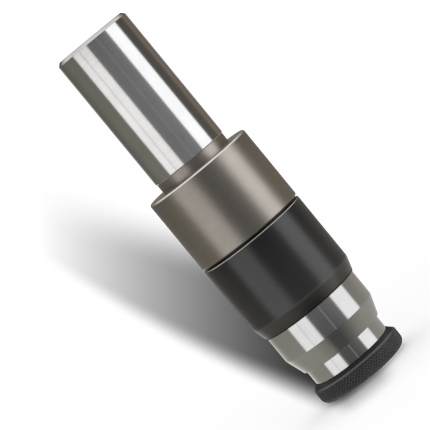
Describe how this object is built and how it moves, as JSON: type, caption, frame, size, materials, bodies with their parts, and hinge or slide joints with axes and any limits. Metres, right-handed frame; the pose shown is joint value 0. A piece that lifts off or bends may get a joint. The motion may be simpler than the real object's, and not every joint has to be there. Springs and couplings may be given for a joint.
{
  "type": "quick-change tapping chuck",
  "caption": "Quick-change tapping chuck: straight ground shank, satin collar, black locking sleeve, and a polished slip-clutch tap adapter with a knurled release ring.",
  "frame": {"origin": "on the axis, in the plane of the tap socket's nose face, which is the lowest face", "axes": "+Z along the axis, from the nose up to the shank; +X through the first lock ball, grip ball and driving lug"},
  "size_m": [0.036, 0.036, 0.131],
  "materials": {
    "ground_steel": "ground and polished shank, fine blasted satin on the collar",
    "black_oxide": "smooth black oxide with a soft sheen",
    "bright_steel": "polished hardened steel",
    "black_knurl": "black oxide over fine diamond knurling",
    "turned_steel": "turned and hardened steel",
    "ball_steel": "polished bearing balls",
    "spring_steel": "dark oiled spring steel",
    "brass": "turned brass",
    "screw_steel": "black fastener steel"
  },
  "bodies": {
    "holder": {"shank_body": "ground_steel", "rear_plug": "screw_steel", "float_spring": "spring_steel"},
    "float_head": {"spindle": "turned_steel", "float_washer": "turned_steel", "float_bolt": "screw_steel", "sleeve_snap_ring": "spring_steel", "sleeve_spring_washer": "turned_steel", "sleeve_spring": "spring_steel", "adapter_housing": "bright_steel", "setting_nut": "bright_steel"},
    "cage": {"ball_cage": "brass", "drive_balls": "ball_steel"},
    "sleeve": {"locking_sleeve": "black_oxide"},
    "lock_ball_1": {"lock_ball_1": "ball_steel"},
    "lock_ball_2": {"lock_ball_2": "ball_steel"},
    "lock_ball_3": {"lock_ball_3": "ball_steel"},
    "socket": {"tap_socket": "turned_steel", "tail_washer": "turned_steel", "tail_snap_ring": "spring_steel", "disc_springs": "spring_steel", "release_spring": "spring_steel", "release_snap_ring": "spring_steel"},
    "clutch_load": {"pressure_plate": "turned_steel", "clutch_balls": "ball_steel"},
    "ring": {"release_ring": "black_knurl"},
    "grip_ball_1": {"grip_ball_1": "ball_steel"},
    "grip_ball_2": {"grip_ball_2": "ball_steel"},
    "grip_ball_3": {"grip_ball_3": "ball_steel"}
  },
  "joints": [
    {"name": "float", "type": "slide", "parent": "holder", "child": "float_head", "axis": [0, 0, -1], "range_m": [0, 0.007], "stiffness_N_per_m": 6000, "springref_m": -0.005, "deforming": ["float_spring"]},
    {"name": "cage_roll", "type": "slide", "parent": "holder", "child": "cage", "axis": [0, 0, -1], "range_m": [0, 0.0035]},
    {"name": "sleeve_slide", "type": "slide", "parent": "float_head", "child": "sleeve", "axis": [0, 0, -1], "range_m": [0, 0.0042], "stiffness_N_per_m": 2000, "springref_m": -0.003, "deforming": ["sleeve_spring"]},
    {"name": "clutch_slip", "type": "hinge", "parent": "float_head", "child": "socket", "pos_m": [0, 0, 0.026], "axis": [0, 0, 1], "continuous": true},
    {"name": "clutch_lift", "type": "slide", "parent": "socket", "child": "clutch_load", "axis": [0, 0, -1], "range_m": [0, 0.001], "stiffness_N_per_m": 20000, "springref_m": -0.001, "deforming": ["disc_springs"]},
    {"name": "release_ring_slide", "type": "slide", "parent": "socket", "child": "ring", "axis": [0, 0, 1], "range_m": [0, 0.0024], "stiffness_N_per_m": 1500, "springref_m": -0.003, "deforming": ["release_spring"]},
    {"name": "lock_ball_1_out", "type": "slide", "parent": "float_head", "child": "lock_ball_1", "axis": [1, 0, 0], "range_m": [0, 0.00106]},
    {"name": "lock_ball_2_out", "type": "slide", "parent": "float_head", "child": "lock_ball_2", "axis": [-0.5, 0.866, 0], "range_m": [0, 0.00106]},
    {"name": "lock_ball_3_out", "type": "slide", "parent": "float_head", "child": "lock_ball_3", "axis": [-0.5, -0.866, 0], "range_m": [0, 0.00106]},
    {"name": "grip_ball_1_out", "type": "slide", "parent": "socket", "child": "grip_ball_1", "axis": [1, 0, 0], "range_m": [0, 0.00041]},
    {"name": "grip_ball_2_out", "type": "slide", "parent": "socket", "child": "grip_ball_2", "axis": [-0.5, 0.866, 0], "range_m": [0, 0.00041]},
    {"name": "grip_ball_3_out", "type": "slide", "parent": "socket", "child": "grip_ball_3", "axis": [-0.5, -0.866, 0], "range_m": [0, 0.00041]}
  ],
  "couplings": [
    {"joint": "cage_roll", "follows": "float", "ratio": 0.5},
    {"joint": "lock_ball_1_out", "follows": "sleeve_slide", "ratio": 0.25},
    {"joint": "lock_ball_2_out", "follows": "sleeve_slide", "ratio": 0.25},
    {"joint": "lock_ball_3_out", "follows": "sleeve_slide", "ratio": 0.25},
    {"joint": "grip_ball_1_out", "follows": "release_ring_slide", "ratio": 0.16667},
    {"joint": "grip_ball_2_out", "follows": "release_ring_slide", "ratio": 0.16667},
    {"joint": "grip_ball_3_out", "follows": "release_ring_slide", "ratio": 0.16667}
  ]
}
